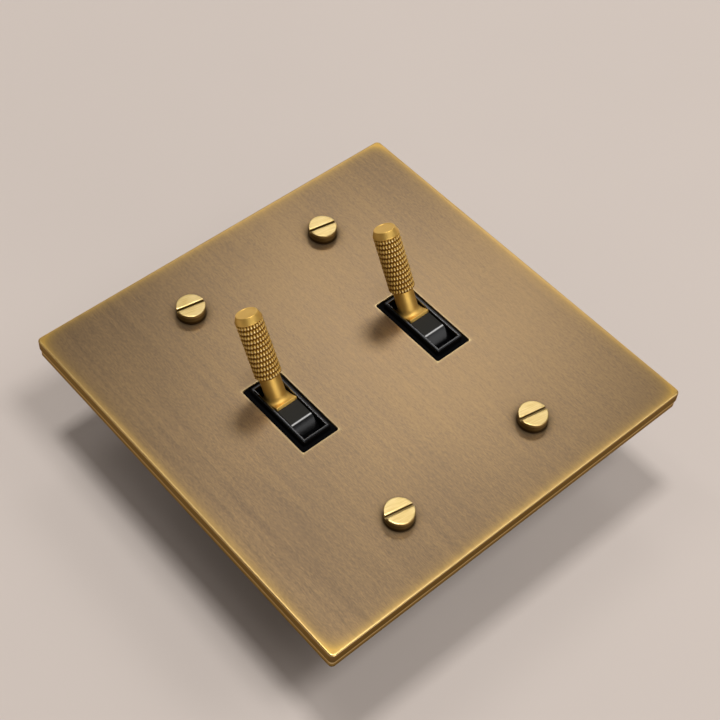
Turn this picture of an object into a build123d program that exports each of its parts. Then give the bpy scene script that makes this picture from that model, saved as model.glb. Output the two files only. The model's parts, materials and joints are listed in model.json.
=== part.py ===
from build123d import *
import os
from math import acos, cos, pi, radians, sin, sqrt

# Two-gang toggle light switch on a square brass plate, in millimetres.
# The origin is the centre of the wall plane: +X runs across the gangs, +Y up the wall, +Z out of the wall.

# Plates: a front plate over a slightly smaller back plate, which stands on the wall on a narrow rim
plate_side = 120.0
plate_corner_radius = 1.4
front_plate_thickness = 3.4
front_edge_round = 0.5
front_edge_chamfer = 0.3
back_plate_thickness = 2.4
back_plate_inset = 0.3
back_edge_round = 0.3
wall_rim_width = 5.0
wall_pocket_depth = 0.6
gang_spacing = 46.0

# Slotted cheese-head screws that go through both plates into the wall box
screw_spacing = 83.3
screw_head_radius = 4.0
screw_head_height = 3.2
screw_head_chamfer = 0.3
screw_slot_width = 0.8
screw_slot_depth = 0.9
screw_slot_turn = -11.0
screw_neck_radius = 1.95
screw_shank_radius = 1.7
screw_shank_length = 20.0
screw_point_chamfer = 0.5
screw_hole_clearance = 0.1

# Small slotted screws of the modules, the terminals and the earth clamp
small_head_radius = 2.75
small_head_height = 1.8
small_shank_radius = 1.5
small_slot_width = 0.8
small_slot_depth = 0.9
small_hole_clearance = 0.1

# Opening in the front plate, and the black bezel that fills it
opening_width = 11.6
opening_length = 24.6
opening_corner_radius = 0.5
opening_edge_break = 0.15
bezel_clearance = 0.1
bezel_flange_border = 2.7
bezel_recess = 0.3
slot_width = 7.0
slot_length = 19.8
rim_wall = 1.0
rim_height = 1.5
rim_corner_radius = 0.6
rim_round = 0.35

# Lever, measured from its seat on the cradle outwards
lever_tilt = 28.0
flange_width = 6.4
flange_length = 8.7
flange_thickness = 1.0
neck_radius = 2.8
neck_length = 7.3
neck_cove = 1.5
stud_radius = 1.7
stud_length = 6.0
knurl_radius = 3.65
knurl_depth = 0.4
knurl_teeth = 26
knurl_rows = 12
knurl_pitch = 1.39
knurl_groove = 0.3
cap_base_radius = 3.6
cap_band_height = 0.5
cap_top_radius = 2.95
cap_height = 2.1
cap_round = 0.15

# Cradle: a black drum that turns with the lever, with a flat beside the lever on each side
pivot_depth = 10.2
facet_height = 1.0
ridge_rise = 0.9
drum_half_angle = 88.0
drum_clearance = 0.4
cradle_width = 6.4
ridge_round = 0.8
hub_radius = 4.0
hub_gap = 0.3
tail_width = 6.0
tail_shoulder = 4.0
tail_length = 10.5
pivot_pin_radius = 1.25
pivot_clearance = 0.08
pivot_pin_recess = 1.0

# Sprung plunger in the cradle's tail
spring_bore_radius = 2.0
spring_bore_start = 2.6
plunger_clearance = 0.08
plunger_length = 6.1
nose_path_radius = 13.6
spring_clearance = 0.2
spring_wire = 0.5
spring_turns = 4.0
spring_seat_gap = 0.1

# Contact rocker under the plunger, and the contacts
rocker_throw = 8.0
nose_gap = 0.15
rocker_rise = 1.6
rocker_thickness = 1.0
rocker_width = 5.0
trough_margin = 0.3
rocker_hub_radius = 1.6
fulcrum_radius = 0.6
fulcrum_clearance = 0.1
fulcrum_height = 6.0
cheek_gap = 0.3
cheek_thickness = 0.8
cheek_width = 5.0
contact_inset = 2.4
contact_radius = 1.5
contact_height = 0.8
contact_dome_radius = 3.0
contact_gap = 0.1
fixed_contact_radius = 1.6
fixed_contact_height = 0.8
fixed_contact_chamfer = 0.15

# Terminals: bent brass strips with a binding screw outside the housing
strip_thickness = 1.0
strip_width = 8.0
strip_clearance = 0.1
strip_leg = 10.0
strip_screw_height = 6.0
strip_inset = 3.0
strip_bend_radius = 1.0
terminal_shank_length = 4.2
terminal_bore_clearance = 0.2
terminal_bore_depth = 3.8

# Housing of each module, held to the back plate by two ears
chamber_width = 14.0
chamber_margin = 2.0
side_wall = 5.0
end_wall = 7.5
floor_thickness = 4.0
well_margin = 2.5
housing_corner_radius = 1.5
housing_bottom_chamfer = 0.8
cover_height = 9.0
parting_groove_width = 0.5
parting_groove_depth = 0.3
barrier_thickness = 1.2
barrier_gap = 0.6
barrier_margin = 1.0
barrier_reach = 3.4
ear_reach = 8.5
ear_width = 12.0
ear_thickness = 3.0
ear_corner_radius = 2.0
ear_screw_reach = 4.5
module_screw_gap = 0.1

# Earth clamp on the back plate, below the modules
earth_drop = 34.0
earth_clamp_side = 8.0
earth_clamp_thickness = 1.2
earth_clamp_corner_radius = 0.8

# Levels and lengths that follow from the sizes above
face_z = back_plate_thickness + front_plate_thickness
housing_top = wall_pocket_depth
pivot_z = face_z - pivot_depth
tilt = radians(lever_tilt)
throw = radians(rocker_throw)
facet_distance = pivot_depth + facet_height
drum_radius = facet_distance + ridge_rise
seat = (facet_distance - flange_length / 2 * sin(tilt)) / cos(tilt)
flange_top = seat + flange_thickness
knurl_start = flange_top + neck_length
knurl_length = knurl_rows * knurl_pitch - knurl_groove
knurl_end = knurl_start + knurl_length
plunger_radius = spring_bore_radius - plunger_clearance
bezel_width = opening_width - 2 * bezel_clearance
bezel_length = opening_length - 2 * bezel_clearance
flange_opening_width = opening_width + 2 * bezel_flange_border
flange_opening_length = opening_length + 2 * bezel_flange_border
chamber_length = 2 * (drum_radius + drum_clearance + chamber_margin)
housing_width = chamber_width + 2 * side_wall
housing_length = chamber_length + 2 * end_wall
module_screw_spacing = housing_length + 2 * ear_screw_reach

# The rocker's trough follows the plunger's nose: seen from the rocker, the nose moves on an arc
rocker_drop = nose_path_radius + plunger_radius + nose_gap + rocker_rise
rocker_z = pivot_z - rocker_drop
nose_side = nose_path_radius * sin(tilt)
nose_height = rocker_drop - nose_path_radius * cos(tilt)
path_half_width = nose_side * cos(throw) - nose_height * sin(throw)
path_rise = nose_side * sin(throw) + nose_height * cos(throw) - (rocker_drop - nose_path_radius)
path_radius = (path_half_width**2 + path_rise**2) / (2 * path_rise)
trough_radius = path_radius + plunger_radius + nose_gap
trough_centre = rocker_rise + trough_radius
trough_reach = path_half_width * trough_radius / path_radius + trough_margin
wing_top = trough_centre - sqrt(trough_radius**2 - trough_reach**2)
wing_bottom = wing_top - rocker_thickness
contact_offset = trough_reach + contact_inset
wing_reach = contact_offset + contact_radius

# Where the domed contact of the lowered wing meets the contact below it
dome_centre = wing_bottom - contact_height + contact_dome_radius
dome_z = rocker_z + dome_centre * cos(throw) - contact_offset * sin(throw)
fixed_contact_y = contact_offset * cos(throw) + dome_centre * sin(throw)
fixed_contact_top = dome_z - contact_dome_radius - contact_gap
ledge_z = fixed_contact_top - fixed_contact_height - strip_thickness
chamber_floor = rocker_z - fulcrum_height
housing_bottom = chamber_floor - floor_thickness
strip_start = fixed_contact_y - strip_inset
well_length = 2 * (strip_width / 2 + well_margin)
cheek_start = rocker_width / 2 + cheek_gap

up = Vector(0, sin(tilt), cos(tilt))
rocker_up = Vector(0, -sin(throw), cos(throw))
gangs = {"left": -gang_spacing / 2, "right": gang_spacing / 2}


def pivot_point(gang_x):
    return Vector(gang_x, 0, pivot_z)


# Plane across the lever, at its pivot
def lever_plane(gang_x):
    return Plane(pivot_point(gang_x), x_dir=(1, 0, 0), z_dir=up)


# Plane along the lever: local X is the radius, local Y the way out along the lever
def turning_plane(gang_x):
    return Plane(pivot_point(gang_x), x_dir=(1, 0, 0), z_dir=(0, -cos(tilt), sin(tilt)))


# Plane that the lever swings in: local Y is the way out along the lever
def swing_plane(gang_x):
    return Plane(pivot_point(gang_x), x_dir=(0, cos(tilt), -sin(tilt)), z_dir=(1, 0, 0))


# Plane that the rocker swings in, at its fulcrum
def rocker_plane(gang_x):
    return Plane((gang_x, 0, rocker_z), x_dir=(0, cos(throw), sin(throw)), z_dir=(1, 0, 0))


# Plane of a terminal's side view: local X leads out of the housing, local Y is up
def strip_plane(gang_x, outward):
    return Plane((gang_x, 0, 0), x_dir=outward, z_dir=Vector(outward).cross(Vector(0, 0, 1)))


# The three terminals: way out, housing's half size that way, and the level of the strip's underside
terminals = {
    "upper": ((0, 1, 0), housing_length / 2, ledge_z),
    "lower": ((0, -1, 0), housing_length / 2, ledge_z),
    "common": ((1, 0, 0), housing_width / 2, chamber_floor),
}


# Plane on the outer face of a terminal's leg, where its screw head sits
def terminal_screw_plane(gang_x, terminal):
    outward, reach, level = terminals[terminal]
    origin = Vector(gang_x, 0, level + strip_screw_height) + Vector(outward) * (reach + strip_thickness)
    return Plane(origin, z_dir=outward)


# Plane on the housing's wall behind a terminal, at the middle of the strip's leg
def terminal_wall_plane(gang_x, terminal):
    outward, reach, level = terminals[terminal]
    origin = Vector(gang_x, 0, level + strip_leg / 2) + Vector(outward) * reach
    return Plane(origin, x_dir=Vector(outward).cross(Vector(0, 0, 1)), z_dir=outward)


def module_screw_planes(gang_x):
    level = housing_top - ear_thickness
    places = [(gang_x, side * module_screw_spacing / 2, level) for side in (-1, 1)]
    return [Plane(place, x_dir=(1, 0, 0), z_dir=(0, 0, -1)) for place in places]


# Small slotted screw with the underside of its head on a plane, added to the part being built
def small_screw(plane, shank_length):
    with BuildSketch(plane) as head:
        Circle(small_head_radius)
    with BuildSketch(plane) as shank:
        Circle(small_shank_radius)
    with BuildSketch(plane.offset(small_head_height)) as slot:
        Rectangle(2 * small_head_radius, small_slot_width)
    extrude(head.sketch, amount=small_head_height)
    extrude(shank.sketch, amount=-shank_length)
    extrude(slot.sketch, amount=-small_slot_depth, mode=Mode.SUBTRACT)


def make_front_plate():
    with BuildPart() as front_plate:
        with BuildSketch(Plane.XY.offset(back_plate_thickness)):
            RectangleRounded(plate_side, plate_side, plate_corner_radius)
            with GridLocations(gang_spacing, 0, 2, 1):
                RectangleRounded(opening_width, opening_length, opening_corner_radius, mode=Mode.SUBTRACT)
            with GridLocations(gang_spacing, screw_spacing, 2, 2):
                Circle(screw_neck_radius + screw_hole_clearance, mode=Mode.SUBTRACT)
        extrude(amount=front_plate_thickness)
        fillet(front_plate.faces().sort_by(Axis.Z)[-1].outer_wire().edges(), front_edge_round)
        chamfer(front_plate.faces().sort_by(Axis.Z)[0].outer_wire().edges(), front_edge_chamfer)
        inner_wires = front_plate.faces().sort_by(Axis.Z)[-1].inner_wires()
        openings = inner_wires.sort_by(SortBy.LENGTH)[-len(gangs) :]
        chamfer(openings.edges(), opening_edge_break)
    return front_plate.part


def make_back_plate():
    side = plate_side - 2 * back_plate_inset
    pocket_side = side - 2 * wall_rim_width
    corner_radius = plate_corner_radius - back_plate_inset
    with BuildPart() as back_plate:
        with BuildSketch(Plane.XY):
            RectangleRounded(side, side, corner_radius)
            with GridLocations(gang_spacing, 0, 2, 1):
                Rectangle(
                    flange_opening_width + 2 * bezel_clearance,
                    flange_opening_length + 2 * bezel_clearance,
                    mode=Mode.SUBTRACT,
                )
            with GridLocations(gang_spacing, screw_spacing, 2, 2):
                Circle(screw_neck_radius, mode=Mode.SUBTRACT)
            with GridLocations(gang_spacing, module_screw_spacing, 2, 2):
                Circle(small_shank_radius, mode=Mode.SUBTRACT)
            with Locations((0, -earth_drop)):
                Circle(small_shank_radius, mode=Mode.SUBTRACT)
        extrude(amount=back_plate_thickness)
        fillet(back_plate.faces().sort_by(Axis.Z)[-1].outer_wire().edges(), back_edge_round)
        with BuildSketch(Plane.XY):
            RectangleRounded(pocket_side, pocket_side, corner_radius)
        extrude(amount=wall_pocket_depth, mode=Mode.SUBTRACT)
    return back_plate.part


def make_plate_screws():
    corners = GridLocations(gang_spacing, screw_spacing, 2, 2)
    with BuildPart() as plate_screws:
        with BuildSketch(Plane.XY.offset(face_z)):
            with corners:
                Circle(screw_head_radius)
        extrude(amount=screw_head_height)
        chamfer(plate_screws.edges().group_by(Axis.Z)[-1], screw_head_chamfer)
        with BuildSketch(Plane.XY.offset(face_z + screw_head_height)):
            with corners:
                Rectangle(2 * screw_head_radius, screw_slot_width, rotation=screw_slot_turn)
        extrude(amount=-screw_slot_depth, mode=Mode.SUBTRACT)
        with BuildSketch(Plane.XY):
            with corners:
                Circle(screw_neck_radius)
        extrude(amount=face_z)
        with BuildSketch(Plane.XY):
            with corners:
                Circle(screw_shank_radius)
        extrude(amount=-screw_shank_length)
        chamfer(plate_screws.edges().group_by(Axis.Z)[0], screw_point_chamfer)
    return plate_screws.part


def earth_plane(level):
    return Plane((0, -earth_drop, level), x_dir=(1, 0, 0), z_dir=(0, 0, -1))


def make_earth_clamp():
    with BuildPart() as earth_clamp:
        with BuildSketch(earth_plane(wall_pocket_depth)):
            RectangleRounded(earth_clamp_side, earth_clamp_side, earth_clamp_corner_radius)
            Circle(small_shank_radius + small_hole_clearance, mode=Mode.SUBTRACT)
        extrude(amount=earth_clamp_thickness)
    return earth_clamp.part


def make_earth_screw():
    shank_length = back_plate_thickness - wall_pocket_depth - module_screw_gap + earth_clamp_thickness
    with BuildPart() as earth_screw:
        small_screw(earth_plane(wall_pocket_depth - earth_clamp_thickness), shank_length)
    return earth_screw.part


def make_bezel(gang_x):
    with BuildPart() as bezel:
        with BuildSketch(Plane((gang_x, 0, housing_top))):
            Rectangle(flange_opening_width, flange_opening_length)
        extrude(amount=back_plate_thickness - housing_top)
        with BuildSketch(Plane((gang_x, 0, back_plate_thickness))):
            RectangleRounded(bezel_width, bezel_length, opening_corner_radius)
        extrude(amount=front_plate_thickness - bezel_recess)
        with BuildSketch(Plane((gang_x, 0, face_z - bezel_recess))):
            RectangleRounded(slot_width + 2 * rim_wall, slot_length + 2 * rim_wall, rim_corner_radius)
        extrude(amount=bezel_recess + rim_height)
        with BuildSketch(Plane((gang_x, 0, housing_top))):
            Rectangle(slot_width, slot_length)
        extrude(amount=face_z + rim_height - housing_top, mode=Mode.SUBTRACT)
        fillet(bezel.edges().group_by(Axis.Z)[-1], rim_round)
        # Room for the drum, which is longer than the slot below the plate
        with BuildSketch(Plane(pivot_point(gang_x), z_dir=(1, 0, 0))):
            Circle(drum_radius + drum_clearance)
        extrude(amount=slot_width / 2, both=True, mode=Mode.SUBTRACT)
    return bezel.part


# Triangular faces of the knurl: rows of four-sided points, each row turned half a point from the last
def make_knurl():
    root_radius = knurl_radius - knurl_depth

    def at(radius, half_steps, height):
        turn = half_steps * pi / knurl_teeth
        return Vector(radius * cos(turn), radius * sin(turn), height)

    def triangle(*corners):
        return Face(Wire.make_polygon(corners))

    faces = []
    for row in range(knurl_rows):
        low = row * knurl_pitch
        high = low + knurl_pitch - knurl_groove
        for tooth in range(knurl_teeth):
            middle = 2 * tooth + row
            tip = at(knurl_radius, middle, (low + high) / 2)
            base = [at(root_radius, middle + s, h) for s, h in ((-1, low), (1, low), (1, high), (-1, high))]
            for first, second in zip(base, base[1:] + base[:1]):
                faces.append(triangle(first, second, tip))
            if row < knurl_rows - 1:
                above = [at(root_radius, middle + s, low + knurl_pitch) for s in (0, 2)]
                faces.append(triangle(base[3], base[2], above[0]))
                faces.append(triangle(base[2], above[1], above[0]))
    for row, height in ((0, 0), (knurl_rows - 1, knurl_length)):
        ring = [at(root_radius, 2 * tooth + row + 1, height) for tooth in range(knurl_teeth)]
        faces.append(Face(Wire.make_polygon(ring)))
    return Solid(Shell(faces))


def make_lever(gang_x):
    axis = Axis(pivot_point(gang_x), up)
    stud_end = seat - stud_length
    cap_top = knurl_end + cap_height
    cove_top = flange_top + neck_cove
    cove_middle = neck_cove * (1 - sqrt(0.5))
    knurl = make_knurl().moved(lever_plane(gang_x).offset(knurl_start).location)
    with BuildPart() as lever:
        # Flange with the flare of the neck, milled to the flange's sides
        with BuildSketch(turning_plane(gang_x)):
            with BuildLine():
                Line((0, flange_top), (neck_radius + neck_cove, flange_top))
                ThreePointArc(
                    (neck_radius + neck_cove, flange_top),
                    (neck_radius + cove_middle, flange_top + cove_middle),
                    (neck_radius, cove_top),
                )
                Polyline((neck_radius, cove_top), (0, cove_top), (0, flange_top))
            make_face()
        revolve(axis=axis)
        with BuildSketch(lever_plane(gang_x).offset(seat)):
            Rectangle(flange_width, flange_length)
        extrude(amount=cove_top - seat, mode=Mode.INTERSECT)
        with BuildSketch(lever_plane(gang_x).offset(seat)):
            Rectangle(flange_width, flange_length)
        extrude(amount=flange_thickness)
        # Stud, neck and cap, turned in one piece
        with BuildSketch(turning_plane(gang_x)) as turned_profile:
            with BuildLine():
                Polyline(
                    (0, stud_end),
                    (stud_radius, stud_end),
                    (stud_radius, flange_top),
                    (neck_radius, flange_top),
                    (neck_radius, knurl_end),
                    (cap_base_radius, knurl_end),
                    (cap_base_radius, knurl_end + cap_band_height),
                    (cap_top_radius, cap_top),
                    (0, cap_top),
                    close=True,
                )
            make_face()
            fillet(turned_profile.vertices().group_by(Axis.Y)[-1].sort_by(Axis.X)[-1], cap_round)
        revolve(axis=axis)
        add(knurl)
    return lever.part


def make_cradle(gang_x):
    ridge_angle = tilt + acos(facet_distance / drum_radius)
    end_angle = radians(drum_half_angle)

    def on_drum(angle):
        return (drum_radius * sin(angle), drum_radius * cos(angle))

    with BuildPart() as cradle:
        with BuildSketch(swing_plane(gang_x)) as side_view:
            with BuildLine():
                Polyline((0, seat), (flange_length / 2, seat), on_drum(ridge_angle))
                ThreePointArc(on_drum(ridge_angle), on_drum((ridge_angle + end_angle) / 2), on_drum(end_angle))
                Polyline(
                    on_drum(end_angle),
                    (tail_width / 2, -tail_shoulder),
                    (tail_width / 2, -tail_length),
                    (0, -tail_length),
                )
                mirror(about=Plane.YZ)
            make_face()
            # Ridges between the flats and the drum, next below the lever's seat
            fillet(side_view.vertices().group_by(Axis.Y)[-2], ridge_round)
        extrude(amount=cradle_width / 2, both=True)
        with BuildSketch(swing_plane(gang_x)):
            Circle(hub_radius)
        extrude(amount=chamber_width / 2 - hub_gap, both=True)
        with BuildSketch(swing_plane(gang_x)):
            Circle(pivot_pin_radius + pivot_clearance)
        extrude(amount=chamber_width / 2, both=True, mode=Mode.SUBTRACT)
        with BuildSketch(lever_plane(gang_x).offset(seat)):
            Circle(stud_radius)
        extrude(amount=-stud_length, mode=Mode.SUBTRACT)
        with BuildSketch(lever_plane(gang_x).offset(-tail_length)):
            Circle(spring_bore_radius)
        extrude(amount=tail_length - spring_bore_start, mode=Mode.SUBTRACT)
    return cradle.part


def make_pivot_pin(gang_x):
    with BuildPart() as pivot_pin:
        with BuildSketch(Plane(pivot_point(gang_x), z_dir=(1, 0, 0))):
            Circle(pivot_pin_radius)
        extrude(amount=housing_width / 2 - pivot_pin_recess, both=True)
    return pivot_pin.part


def make_plunger(gang_x):
    top = plunger_length - nose_path_radius
    with BuildPart() as plunger:
        with BuildSketch(turning_plane(gang_x)):
            with BuildLine():
                Polyline((0, top), (plunger_radius, top), (plunger_radius, -nose_path_radius))
                ThreePointArc(
                    (plunger_radius, -nose_path_radius),
                    (plunger_radius * sqrt(0.5), -nose_path_radius - plunger_radius * sqrt(0.5)),
                    (0, -nose_path_radius - plunger_radius),
                )
                Line((0, -nose_path_radius - plunger_radius), (0, top))
            make_face()
        revolve(axis=Axis(pivot_point(gang_x), up))
    return plunger.part


def make_spring(gang_x):
    low = plunger_length - nose_path_radius + spring_seat_gap + spring_wire / 2
    height = -spring_bore_start - spring_seat_gap - spring_wire / 2 - low
    coil_radius = spring_bore_radius - spring_clearance - spring_wire / 2
    start = lever_plane(gang_x).offset(low).origin
    with BuildPart() as spring:
        with BuildLine() as coil:
            Helix(height / spring_turns, height, coil_radius, center=start, direction=up)
        with BuildSketch(Plane(coil.line @ 0, x_dir=(1, 0, 0), z_dir=coil.line % 0)):
            Rectangle(spring_wire, spring_wire)
        sweep(path=coil.line, is_frenet=True)
    return spring.part


def make_contact_rocker(gang_x):
    underside_radius = trough_radius + rocker_thickness
    underside_reach = sqrt(underside_radius**2 - (trough_centre - wing_bottom) ** 2)
    with BuildPart() as contact_rocker:
        with BuildSketch(rocker_plane(gang_x)):
            with BuildLine():
                ThreePointArc((-trough_reach, wing_top), (0, rocker_rise), (trough_reach, wing_top))
                Polyline(
                    (trough_reach, wing_top),
                    (wing_reach, wing_top),
                    (wing_reach, wing_bottom),
                    (underside_reach, wing_bottom),
                )
                ThreePointArc(
                    (underside_reach, wing_bottom),
                    (0, rocker_rise - rocker_thickness),
                    (-underside_reach, wing_bottom),
                )
                Polyline(
                    (-underside_reach, wing_bottom),
                    (-wing_reach, wing_bottom),
                    (-wing_reach, wing_top),
                    (-trough_reach, wing_top),
                )
            make_face()
            # Saddle that sits on the fulcrum, open below
            Rectangle(2 * rocker_hub_radius, rocker_rise - rocker_thickness / 2, align=(Align.CENTER, Align.MIN))
            Circle(fulcrum_radius + fulcrum_clearance, mode=Mode.SUBTRACT)
        extrude(amount=rocker_width / 2, both=True)
    return contact_rocker.part


def make_moving_contacts(gang_x):
    dome_drop = contact_dome_radius - sqrt(contact_dome_radius**2 - contact_radius**2)
    middle = contact_radius / 2
    middle_drop = contact_dome_radius - sqrt(contact_dome_radius**2 - middle**2)
    with BuildPart() as moving_contacts:
        for side in (-1, 1):
            origin = rocker_plane(gang_x).from_local_coords((side * contact_offset, wing_bottom, 0))
            with BuildSketch(Plane(origin, x_dir=(1, 0, 0), z_dir=(0, -cos(throw), -sin(throw)))):
                with BuildLine():
                    Polyline((0, 0), (contact_radius, 0), (contact_radius, dome_drop - contact_height))
                    ThreePointArc(
                        (contact_radius, dome_drop - contact_height),
                        (middle, middle_drop - contact_height),
                        (0, -contact_height),
                    )
                    Line((0, -contact_height), (0, 0))
                make_face()
            revolve(axis=Axis(origin, rocker_up))
    return moving_contacts.part


def make_fixed_contacts(gang_x):
    with BuildPart() as fixed_contacts:
        with BuildSketch(Plane((gang_x, 0, ledge_z + strip_thickness))):
            with GridLocations(0, 2 * fixed_contact_y, 1, 2):
                Circle(fixed_contact_radius)
        extrude(amount=fixed_contact_height)
        chamfer(fixed_contacts.edges().group_by(Axis.Z)[-1], fixed_contact_chamfer)
    return fixed_contacts.part


# Bent strip from a place inside the housing, through its wall and up outside it, with a tapped hole
def terminal_strip(gang_x, terminal, start):
    outward, reach, level = terminals[terminal]
    with BuildSketch(strip_plane(gang_x, outward)) as side_view:
        with BuildLine():
            Polyline(
                (start, level),
                (reach + strip_thickness, level),
                (reach + strip_thickness, level + strip_leg),
                (reach, level + strip_leg),
                (reach, level + strip_thickness),
                (start, level + strip_thickness),
                close=True,
            )
        make_face()
        fillet(side_view.vertices().group_by(Axis.X)[-1].sort_by(Axis.Y)[0], strip_bend_radius)
    with BuildSketch(terminal_screw_plane(gang_x, terminal)) as hole:
        Circle(small_shank_radius)
    extrude(side_view.sketch, amount=strip_width / 2, both=True)
    extrude(hole.sketch, amount=-strip_thickness, mode=Mode.SUBTRACT)


def make_upper_terminal(gang_x):
    with BuildPart() as upper_terminal:
        terminal_strip(gang_x, "upper", strip_start)
    return upper_terminal.part


def make_lower_terminal(gang_x):
    with BuildPart() as lower_terminal:
        terminal_strip(gang_x, "lower", strip_start)
    return lower_terminal.part


# The common terminal carries the fulcrum between two cheeks
def make_common_terminal(gang_x):
    cheek_end = cheek_start + cheek_thickness
    with BuildPart() as common_terminal:
        terminal_strip(gang_x, "common", -cheek_end)
        with BuildSketch(Plane((gang_x, 0, chamber_floor))):
            with GridLocations(2 * cheek_start + cheek_thickness, 0, 2, 1):
                Rectangle(cheek_thickness, cheek_width)
        extrude(amount=fulcrum_height + fulcrum_radius)
        with BuildSketch(Plane((gang_x, 0, rocker_z), z_dir=(1, 0, 0))):
            Circle(fulcrum_radius)
        extrude(amount=cheek_start, both=True)
    return common_terminal.part


def make_terminal_screws(gang_x):
    with BuildPart() as terminal_screws:
        for terminal in terminals:
            small_screw(terminal_screw_plane(gang_x, terminal), terminal_shank_length)
    return terminal_screws.part


def make_module_screws(gang_x):
    shank_length = back_plate_thickness - module_screw_gap - housing_top + ear_thickness
    with BuildPart() as module_screws:
        for plane in module_screw_planes(gang_x):
            small_screw(plane, shank_length)
    return module_screws.part


def make_housing(gang_x):
    with BuildPart() as housing:
        with BuildSketch(Plane((gang_x, 0, housing_bottom))):
            RectangleRounded(housing_width, housing_length, housing_corner_radius)
        extrude(amount=housing_top - housing_bottom)
        chamfer(housing.faces().sort_by(Axis.Z)[0].outer_wire().edges(), housing_bottom_chamfer)
        with BuildSketch(Plane((gang_x, 0, housing_top))):
            RectangleRounded(ear_width, housing_length + 2 * ear_reach, ear_corner_radius)
        extrude(amount=-ear_thickness)
        with BuildSketch(Plane((gang_x, 0, housing_top))):
            with GridLocations(0, module_screw_spacing, 1, 2):
                Circle(small_shank_radius + small_hole_clearance)
        extrude(amount=-ear_thickness, mode=Mode.SUBTRACT)
        # Joint between the housing's cover and its body
        with BuildSketch(Plane((gang_x, 0, housing_top - cover_height))):
            RectangleRounded(housing_width, housing_length, housing_corner_radius)
            offset(amount=-parting_groove_depth, mode=Mode.SUBTRACT)
        extrude(amount=-parting_groove_width, mode=Mode.SUBTRACT)
        # Barriers on both sides of each terminal
        for terminal in terminals:
            with BuildSketch(terminal_wall_plane(gang_x, terminal)):
                with GridLocations(strip_width + 2 * barrier_gap + barrier_thickness, 0, 2, 1):
                    Rectangle(barrier_thickness, strip_leg + 2 * barrier_margin)
            extrude(amount=barrier_reach)
        # Chamber of the drum, with ledges for the contact strips and a well for the fulcrum
        with BuildSketch(Plane((gang_x, 0, ledge_z))):
            Rectangle(chamber_width, chamber_length)
        extrude(amount=housing_top - ledge_z, mode=Mode.SUBTRACT)
        with BuildSketch(Plane((gang_x, 0, chamber_floor))):
            Rectangle(chamber_width, well_length)
        extrude(amount=ledge_z - chamber_floor, mode=Mode.SUBTRACT)
        # Ways out for the terminal strips
        slot_height = strip_thickness + strip_clearance
        slot_span = strip_width + 2 * strip_clearance
        with BuildSketch(Plane((gang_x, 0, ledge_z))):
            Rectangle(slot_span, housing_length)
        extrude(amount=slot_height, mode=Mode.SUBTRACT)
        with BuildSketch(Plane((gang_x, 0, chamber_floor))):
            Rectangle(housing_width / 2, slot_span, align=(Align.MIN, Align.CENTER))
        extrude(amount=slot_height, mode=Mode.SUBTRACT)
        for terminal in terminals:
            with BuildSketch(terminal_screw_plane(gang_x, terminal).offset(-strip_thickness)):
                Circle(small_shank_radius + terminal_bore_clearance)
            extrude(amount=-terminal_bore_depth, mode=Mode.SUBTRACT)
        with BuildSketch(Plane(pivot_point(gang_x), z_dir=(1, 0, 0))):
            Circle(pivot_pin_radius)
        extrude(amount=housing_width / 2, both=True, mode=Mode.SUBTRACT)
    return housing.part


plate_pieces = {
    "front_plate": make_front_plate,
    "back_plate": make_back_plate,
    "plate_screws": make_plate_screws,
    "earth_clamp": make_earth_clamp,
    "earth_screw": make_earth_screw,
}

gang_pieces = {
    "lever": make_lever,
    "cradle": make_cradle,
    "bezel": make_bezel,
    "housing": make_housing,
    "pivot_pin": make_pivot_pin,
    "spring": make_spring,
    "plunger": make_plunger,
    "contact_rocker": make_contact_rocker,
    "moving_contacts": make_moving_contacts,
    "fixed_contacts": make_fixed_contacts,
    "upper_terminal": make_upper_terminal,
    "lower_terminal": make_lower_terminal,
    "common_terminal": make_common_terminal,
    "terminal_screws": make_terminal_screws,
    "module_screws": make_module_screws,
}


def save(piece, name):
    piece.label = name
    export_step(piece, f"parts/{name}.step")


os.makedirs("parts", exist_ok=True)
for name, make in plate_pieces.items():
    save(make(), name)
for gang, gang_x in gangs.items():
    for name, make in gang_pieces.items():
        save(make(gang_x), f"{gang}_{name}")
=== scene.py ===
import json
import math

import bmesh
import bpy
from mathutils import Matrix, Quaternion, Vector


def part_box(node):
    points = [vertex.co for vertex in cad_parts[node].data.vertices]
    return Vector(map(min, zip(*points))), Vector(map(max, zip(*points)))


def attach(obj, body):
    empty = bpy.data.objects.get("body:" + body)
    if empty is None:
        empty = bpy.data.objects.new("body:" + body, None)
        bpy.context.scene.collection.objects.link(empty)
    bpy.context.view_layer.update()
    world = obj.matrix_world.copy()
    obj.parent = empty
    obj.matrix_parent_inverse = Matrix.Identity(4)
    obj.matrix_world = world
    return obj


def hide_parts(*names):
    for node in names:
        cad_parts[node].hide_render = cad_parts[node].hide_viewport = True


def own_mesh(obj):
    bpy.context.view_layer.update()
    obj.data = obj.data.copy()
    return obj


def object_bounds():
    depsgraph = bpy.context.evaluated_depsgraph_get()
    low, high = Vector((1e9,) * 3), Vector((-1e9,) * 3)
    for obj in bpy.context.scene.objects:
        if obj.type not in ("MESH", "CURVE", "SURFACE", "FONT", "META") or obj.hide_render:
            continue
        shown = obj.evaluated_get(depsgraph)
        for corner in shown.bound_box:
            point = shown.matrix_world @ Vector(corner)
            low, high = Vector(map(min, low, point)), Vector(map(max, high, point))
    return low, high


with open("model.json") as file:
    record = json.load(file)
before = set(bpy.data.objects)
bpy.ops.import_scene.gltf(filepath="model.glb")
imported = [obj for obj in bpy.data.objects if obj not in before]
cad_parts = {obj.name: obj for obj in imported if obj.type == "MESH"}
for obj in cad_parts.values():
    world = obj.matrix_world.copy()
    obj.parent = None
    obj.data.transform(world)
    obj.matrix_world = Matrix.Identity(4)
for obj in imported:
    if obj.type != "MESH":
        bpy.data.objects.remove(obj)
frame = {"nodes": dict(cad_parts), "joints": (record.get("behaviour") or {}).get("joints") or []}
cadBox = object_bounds()

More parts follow.
